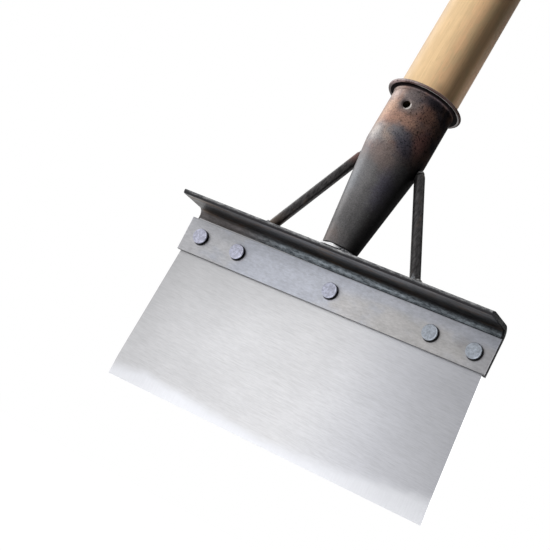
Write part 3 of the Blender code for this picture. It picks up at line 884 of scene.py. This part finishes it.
def weld_finish(settings):
    """Bare weld metal, painted light at the front and on the left and painted shade towards the right."""
    finish = Finish("bare_weld", 0.6)
    point = finish.point()
    fine = point.grain(0.0009, 4.0, 0.6)
    dull = fine.swing(reach=0.1).mix(*SHADED_WELD_SIDE)
    bright = grained(fine.swing(reach=0.15), settings.colour, 0.9, 1.2)
    # Painted light and shade: the bright colour on the left and front, the darker one towards the right
    side = (point.parts()[0] + fine * 0.004).spread(0.0015, 0.0075)
    finish.set("Base Color", side.mix(bright, dull))
    finish.set("Roughness", fine.swing(0.30, 0.48))
    finish.bump(fine, 0.35, 0.0002)
    return finish.material


def dark_weld_finish(settings):
    """Weld metal under scale at the braces, with a few bright specks."""
    finish = Finish("scaled_weld", 0.9)
    fine = finish.point().grain(0.0008, 4.0, 0.6)
    scale = fine.spread(0.3, 0.6).mix(*SCALED_WELD)
    finish.set("Base Color", fine.spread(0.58, 0.68).mix(scale, shade(settings.colour, 0.9)))
    finish.set("Roughness", fine.swing(0.35, 0.5))
    finish.bump(fine, 0.4, 0.0002)
    return finish.material


def shading_group():
    """A modifier's tree that joins the corners of the imported facets and shades them smooth."""
    tree = bpy.data.node_groups.get("even_shading")
    if tree:
        return tree
    tree = bpy.data.node_groups.new("even_shading", "GeometryNodeTree")
    tree.interface.new_socket("Geometry", in_out="INPUT", socket_type="NodeSocketGeometry")
    tree.interface.new_socket("Geometry", in_out="OUTPUT", socket_type="NodeSocketGeometry")
    start = add_node(tree, "NodeGroupInput").outputs[0]
    inputs = {"Geometry": start, "Distance": 0.000002}
    joined = add_node(tree, "GeometryNodeMergeByDistance", inputs).outputs["Geometry"]
    inputs = {"Geometry": joined, "Name": "custom_normal"}
    plain = add_node(tree, "GeometryNodeRemoveAttribute", inputs).outputs["Geometry"]
    faces = add_node(tree, "GeometryNodeSetShadeSmooth", {"Geometry": plain}, domain="FACE")
    angle = add_node(tree, "GeometryNodeInputMeshEdgeAngle").outputs["Unsigned Angle"]
    soft = add_node(tree, "FunctionNodeCompare", {0: angle, 1: math.radians(20)}, operation="LESS_THAN")
    inputs = {"Geometry": faces.outputs["Geometry"], "Shade Smooth": soft.outputs["Result"]}
    edges = add_node(tree, "GeometryNodeSetShadeSmooth", inputs, domain="EDGE")
    add_node(tree, "NodeGroupOutput", {0: edges.outputs["Geometry"]})
    return tree


def dress(name, material, bevel=0.0):
    """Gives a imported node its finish, even shading and, on the angle bar, worn corners."""
    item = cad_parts[name]
    for slot in item.material_slots:
        slot.material = material
    shading = item.modifiers.new("even_shading", "NODES")
    shading.node_group = shading_group()
    if bevel:
        worn = item.modifiers.new("worn_corners", "BEVEL")
        worn.width = bevel
        worn.segments = 2
        worn.limit_method = "ANGLE"
        worn.angle_limit = math.radians(40)
    weighted = item.modifiers.new("even_normals", "WEIGHTED_NORMAL")
    weighted.keep_sharp = True


def add_object(name, data):
    """A new object in the scene."""
    made = bpy.data.objects.new(name, data)
    bpy.context.scene.collection.objects.link(made)
    return made


def add_shape(name, shape, material):
    """A new object in the scene from a shape, which is used up."""
    mesh = bpy.data.meshes.new(name)
    shape.to_mesh(mesh)
    shape.free()
    mesh.materials.append(material)
    return add_object(name, mesh)


def add_piece(name, shape, material, replaced):
    """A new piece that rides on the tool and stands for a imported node."""
    bmesh.ops.recalc_face_normals(shape, faces=shape.faces)
    piece = add_shape(name, shape, material)
    piece.data.shade_smooth()
    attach(piece, "root")
    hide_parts(replaced)
    return piece


def closed_sweep(rings):
    """A closed tube through closed rings of points, its last ring joined to its first."""
    shape = bmesh.new()
    made = [[shape.verts.new(spot) for spot in ring] for ring in rings]
    for first, second in zip(made, made[1:] + made[:1]):
        for side in range(len(first)):
            beside = (side + 1) % len(first)
            shape.faces.new((first[side], first[beside], second[beside], second[side]))
    return shape


# The socket's bead: rings round the foot, steps across its bulge, and the gap that it keeps
BEAD_RINGS = 168
BEAD_STEPS = 7
BEAD_GAP = 0.0003

# How far the bead runs out on the flange and bulges, each with what a ripple adds, and its lumps
BEAD_LEG, LEG_RIPPLE = 0.0011, 0.0005
BEAD_BULGE, BULGE_RIPPLE = 0.00055, 0.00025
BEAD_LUMP = 0.00050

# How far the bead's upper edge is tucked under the foot, and how far the bead reaches inward
TUCK_DROP, TUCK_DEPTH = 0.00045, 0.00025
BEAD_INWARD = 0.0021

# The room that the bead keeps to the toe where it faces the front, and how much it has to face it
TOE_ROOM = 0.0001
FRONT_SHARE = 0.2


def uneven(place, size, amount, seed):
    """A small displacement that varies smoothly with place."""
    return noise.noise(place / size + Vector((seed, seed * 0.7, 0))) * amount


def ripple_at(run, settings):
    """0 between two ripples of a bead and 1 on top of one."""
    return abs(math.sin(math.pi * run / settings.ripple))


def foot_edge(angle):
    """A point on the outer edge of the socket's lower end, which is cut off level."""
    lean = math.tan(SOCKET_LEAN)
    radius = SOCKET_FOOT_RADIUS / (1 + SOCKET_SLOPE * math.cos(angle) * lean)
    height = -radius * math.cos(angle) * lean
    return SOCKET_PLACE @ Vector((radius * math.sin(angle), -radius * math.cos(angle), height))


def bead_ring(angle, settings):
    """The bead's section at a turn from the front: up its bulging outside and back under the foot."""
    outward = Vector((math.sin(angle), -math.cos(angle), 0))
    foot = foot_edge(angle)
    ground = Vector((foot.x, foot.y, FLANGE_TOP + BEAD_GAP))
    run = angle * SOCKET_FOOT_RADIUS + uneven(foot, 0.003, 0.0006, settings.seed)
    wave = ripple_at(run, settings)
    lump = uneven(foot, 0.0028, BEAD_LUMP, settings.seed + 5)
    tuck = Vector((foot.x, foot.y, foot.z - TUCK_DROP + 0.5 * lump)) - outward * TUCK_DEPTH
    bottom = ground + outward * (BEAD_LEG + LEG_RIPPLE * wave + lump)
    bulge = BEAD_BULGE + BULGE_RIPPLE * wave
    ring = []
    for step in range(BEAD_STEPS + 1):
        share = step / BEAD_STEPS
        spot = bottom.lerp(tuck, share) + outward * (bulge * math.sin(math.pi * share))
        if -outward.y > FRONT_SHARE:
            room = (spot.y - TOE_Y - TOE_ROOM) / -outward.y
            spot += outward * min(0.0, room)
        ring.append(spot)
    inward = outward * -BEAD_INWARD
    ring.append(foot + inward + Vector((0, 0, -BEAD_GAP)))
    ring.append(ground + inward)
    return ring


def make_socket_bead(material, settings):
    """The bead that fills the slit between the socket's foot and the flange, and runs out on the flange."""
    rings = [bead_ring(math.tau * step / BEAD_RINGS, settings) for step in range(BEAD_RINGS)]
    bead = add_piece("socket_bead", closed_sweep(rings), material, "socket_weld")
    bead.data.set_sharp_from_angle(angle=math.radians(60))


def set_camera(context):
    data = bpy.data.cameras.new("camera")
    data.lens = CAMERA_LENS
    data.sensor_width = SENSOR
    data.clip_start = 0.01
    data.clip_end = 100
    camera = add_object("camera", data)
    rows = zip(CAMERA_RIGHT, CAMERA_UP, CAMERA_BACK, EYE)
    camera.matrix_world = Matrix((*rows, (0, 0, 0, 1)))
    context.scene.camera = camera


def seen_white(tree):
    """1 for rays that show the background: from the camera, off metal and through glass."""
    path = add_node(tree, "ShaderNodeLightPath")
    kinds = ("Is Camera Ray", "Is Glossy Ray", "Is Transmission Ray")
    camera, glossy, through = (Pattern(tree, path.outputs[kind]) for kind in kinds)
    return camera | glossy | through


def set_world(context, settings):
    """White all round, as bright as the fill light for the rays that don't show it."""
    world = bpy.data.worlds.new("studio")
    world.use_nodes = True
    tree = world.node_tree
    inputs = tree.nodes["Background"].inputs
    feed(tree, inputs["Color"], WHITE)
    strength = seen_white(tree).spread(0.0, 1.0, settings.fill, 1.0, smooth=False)
    feed(tree, inputs["Strength"], strength)
    context.scene.world = world


def glowing_finish(name, colour, strength=1.0):
    """A dull finish that glows white for the rays that show it."""
    finish = Finish(name, 0.0, 0.9)
    finish.set("Base Color", colour)
    finish.set("Specular IOR Level", 0.0)
    finish.set("Emission Color", WHITE)
    finish.set("Emission Strength", seen_white(finish.tree) * strength)
    return finish


def add_sheet(name, columns, finish):
    """A flat or curved sheet through columns, each a lower and an upper point."""
    shape = bmesh.new()
    made = [[shape.verts.new(spot) for spot in column] for column in columns]
    for (low, high), (next_low, next_high) in zip(made, made[1:]):
        shape.faces.new((low, next_low, next_high, high))
    return add_shape(name, shape, finish.material)


FLOOR_HALF = 8.0
FLOOR_GREY = (0.35, 0.35, 0.35)
FLOOR_GLOW = 0.88


def set_floor(settings):
    """A white floor that glows for the rays that show it and still takes the object's shadow."""
    level = BLADE_LOW.z - settings.floor_drop
    sides = (-FLOOR_HALF, FLOOR_HALF)
    columns = [[(x, y, level) for y in sides] for x in sides]
    floor = add_sheet("floor", columns, glowing_finish("white_floor", FLOOR_GREY, FLOOR_GLOW))


# The lamps' common target, and the place and size of each
LAMP_TARGET = Vector((0, 0, 0.15))
KEY_LAMP = (Vector((-1.05, -1.80, 0.60)), (1.6, 1.6))
RIM_LAMP = (Vector((1.20, 1.65, 0.70)), (0.6, 1.2))
WINDOW_LAMP = (Vector((-2.1, 0.1, 0.55)), (1.5, 2.2))


def add_lamp(name, place, power, glossy):
    """A rectangular lamp that faces the tool, with or without a reflection in the metal."""
    position, size = place
    data = bpy.data.lights.new(name, "AREA")
    data.shape = "RECTANGLE"
    data.size, data.size_y = size
    data.energy = power
    lamp = add_object(name, data)
    lamp.location = position
    lamp.rotation_euler = (LAMP_TARGET - position).to_track_quat("-Z", "Y").to_euler()
    lamp.visible_glossy = glossy


def set_lamps(settings):
    add_lamp("key_lamp", KEY_LAMP, settings.key_power, False)
    add_lamp("rim_lamp", RIM_LAMP, settings.rim_power, False)
    add_lamp("window_lamp", WINDOW_LAMP, settings.window_power, True)


# Tone of the curved card by its turn from the front towards the right, in degrees
CARD_TONES = ((-28, 1.0), (-12, 0.78), (5, 0.52), (25, 0.36), (50, 0.11), (75, 0.03), (165, 0.03), (195, 0.4))
CARD_STEPS = 40
CARD_RADIUS = 2.2
CARD_LOW, CARD_HIGH = -0.29, 2.6


def set_graded_card(settings):
    """A curved card out of view on the right, graded from white in front to dark behind."""
    start, stop = CARD_TONES[0][0], CARD_TONES[-1][0]
    finish = glowing_finish("graded_card", settings.card_colour)
    x, y, _ = finish.point().parts()
    turn = x.maths("ARCTAN2", y * -1.0).maths("DEGREES").maths("WRAP", 270, -90)
    share = turn.spread(start, stop, smooth=False)
    ramp = add_node(finish.tree, "ShaderNodeValToRGB", {"Fac": share})
    stops = ramp.color_ramp.elements
    while len(stops) < len(CARD_TONES):
        stops.new(0.5)
    for element, (turn_at, tone) in zip(stops, CARD_TONES):
        element.position = (turn_at - start) / (stop - start)
        element.color = (tone, tone, tone, 1.0)
    finish.set("Emission Color", ramp.outputs["Color"])
    columns = []
    for step in range(CARD_STEPS + 1):
        angle = math.radians(start + (stop - start) * step / CARD_STEPS)
        across, forward = CARD_RADIUS * math.sin(angle), -CARD_RADIUS * math.cos(angle)
        columns.append([(across, forward, level) for level in (CARD_LOW, CARD_HIGH)])
    card = add_sheet("graded_card", columns, finish)
    card.visible_camera = False
    card.visible_shadow = False


# The small card: its turn from the front, its distance, half its width, its levels and its colour
EDGE_CARD_TURN = math.radians(157.5)
EDGE_CARD_RADIUS = 2.15
EDGE_CARD_HALF = 0.16
EDGE_CARD_LOW, EDGE_CARD_HIGH = -0.10, 0.60
EDGE_CARD_COLOUR = (0.8, 0.8, 0.8)


def set_edge_card():
    """A small white card behind on the right that the blade's right side face shows."""
    along = Vector((math.cos(EDGE_CARD_TURN), math.sin(EDGE_CARD_TURN), 0))
    outward = Vector((along.y, -along.x, 0))
    columns = []
    for across in (-EDGE_CARD_HALF, EDGE_CARD_HALF):
        foot = outward * EDGE_CARD_RADIUS + along * across
        columns.append([foot + Vector((0, 0, level)) for level in (EDGE_CARD_LOW, EDGE_CARD_HIGH)])
    card = add_sheet("edge_card", columns, glowing_finish("edge_card", EDGE_CARD_COLOUR))
    card.visible_camera = False
    card.visible_shadow = False


class SHOVEL_OT_dress_blade(bpy.types.Operator):
    """Give the blade its brushed finish and ground edge"""

    bl_idname = "shovel.dress_blade"
    bl_label = "Dress Blade"

    def execute(self, context):
        dress("blade", brushed_sheet_finish(context.scene.shovel.blade))
        return {"FINISHED"}


class SHOVEL_OT_dress_strip(bpy.types.Operator):
    """Give the clamp strip its satin finish"""

    bl_idname = "shovel.dress_strip"
    bl_label = "Dress Clamp Strip"

    def execute(self, context):
        dress("clamp_strip", satin_strip_finish(context.scene.shovel.steel))
        return {"FINISHED"}


class SHOVEL_OT_dress_bar(bpy.types.Operator):
    """Give the angle bar its rolling scale"""

    bl_idname = "shovel.dress_bar"
    bl_label = "Dress Angle Bar"

    def execute(self, context):
        steel = context.scene.shovel.steel
        dress("angle_bar", scaled_bar_finish(steel), steel.plate_bevel)
        return {"FINISHED"}


class SHOVEL_OT_dress_rivets(bpy.types.Operator):
    """Give the rivets their plating"""

    bl_idname = "shovel.dress_rivets"
    bl_label = "Dress Rivets"

    def execute(self, context):
        plating = plated_rivet_finish(context.scene.shovel.steel)
        for name in RIVETS:
            dress(name, plating)
        return {"FINISHED"}


class SHOVEL_OT_dress_socket(bpy.types.Operator):
    """Give the socket its heat tint"""

    bl_idname = "shovel.dress_socket"
    bl_label = "Dress Socket"

    def execute(self, context):
        dress("socket", heat_tint_finish(context.scene.shovel.socket))
        return {"FINISHED"}


class SHOVEL_OT_dress_handle(bpy.types.Operator):
    """Give the handle its wood"""

    bl_idname = "shovel.dress_handle"
    bl_label = "Dress Handle"

    def execute(self, context):
        dress("handle", wood_finish(context.scene.shovel.handle))
        return {"FINISHED"}


class SHOVEL_OT_dress_braces(bpy.types.Operator):
    """Give the braces their scaled steel"""

    bl_idname = "shovel.dress_braces"
    bl_label = "Dress Braces"

    def execute(self, context):
        scaled = scaled_rod_finish(context.scene.shovel.steel)
        for name in ("brace_left", "brace_right"):
            dress(name, scaled)
        return {"FINISHED"}


class SHOVEL_OT_lay_beads(bpy.types.Operator):
    """Lay the socket's rippled weld bead and dress the beads of the braces"""

    bl_idname = "shovel.lay_beads"
    bl_label = "Lay Weld Beads"

    def execute(self, context):
        settings = context.scene.shovel.weld
        make_socket_bead(weld_finish(settings), settings)
        scaled = dark_weld_finish(settings)
        for name in sorted(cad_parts):
            if name.endswith(("_foot_weld", "_head_weld")):
                dress(name, scaled)
        return {"FINISHED"}


class SHOVEL_OT_set_stage(bpy.types.Operator):
    """Set the camera, the floor, the lamps and the cards"""

    bl_idname = "shovel.set_stage"
    bl_label = "Set Stage"

    def execute(self, context):
        settings = context.scene.shovel.stage
        set_camera(context)
        set_world(context, settings)
        set_floor(settings)
        set_lamps(settings)
        set_graded_card(settings)
        set_edge_card()
        context.scene.view_settings.view_transform = "Standard"
        return {"FINISHED"}


OPERATORS = (
    SHOVEL_OT_dress_blade,
    SHOVEL_OT_dress_strip,
    SHOVEL_OT_dress_bar,
    SHOVEL_OT_dress_rivets,
    SHOVEL_OT_dress_socket,
    SHOVEL_OT_dress_handle,
    SHOVEL_OT_dress_braces,
    SHOVEL_OT_lay_beads,
    SHOVEL_OT_set_stage,
)


def shown_properties(group):
    """The names of the settings that a group holds."""
    return [name for name in group.bl_rna.properties.keys() if name not in ("rna_type", "name")]


class SHOVEL_PT_sidebar(bpy.types.Panel):
    """Lists the steps that dress the shovel, with their sizes and colours"""

    bl_label = "Square Shovel"
    bl_idname = "SHOVEL_PT_sidebar"
    bl_space_type = "VIEW_3D"
    bl_region_type = "UI"
    bl_category = "Shovel"

    def draw(self, context):
        for step in OPERATORS:
            self.layout.operator(step.bl_idname)
        settings = context.scene.shovel
        for group_name in shown_properties(settings):
            group = getattr(settings, group_name)
            box = self.layout.box()
            box.label(text=group_name.title())
            for name in shown_properties(group):
                box.prop(group, name)


CLASSES = (
    BladeSettings,
    SteelSettings,
    SocketSettings,
    HandleSettings,
    WeldSettings,
    StageSettings,
    ShovelSettings,
    *OPERATORS,
    SHOVEL_PT_sidebar,
)


def register():
    for kind in CLASSES:
        bpy.utils.register_class(kind)
    bpy.types.Scene.shovel = PointerProperty(type=ShovelSettings)


def unregister():
    del bpy.types.Scene.shovel
    for kind in reversed(CLASSES):
        bpy.utils.unregister_class(kind)


def main():
    register()
    for step in OPERATORS:
        group, name = step.bl_idname.split(".")
        getattr(getattr(bpy.ops, group), name)()


if __name__ == "__main__":
    main()
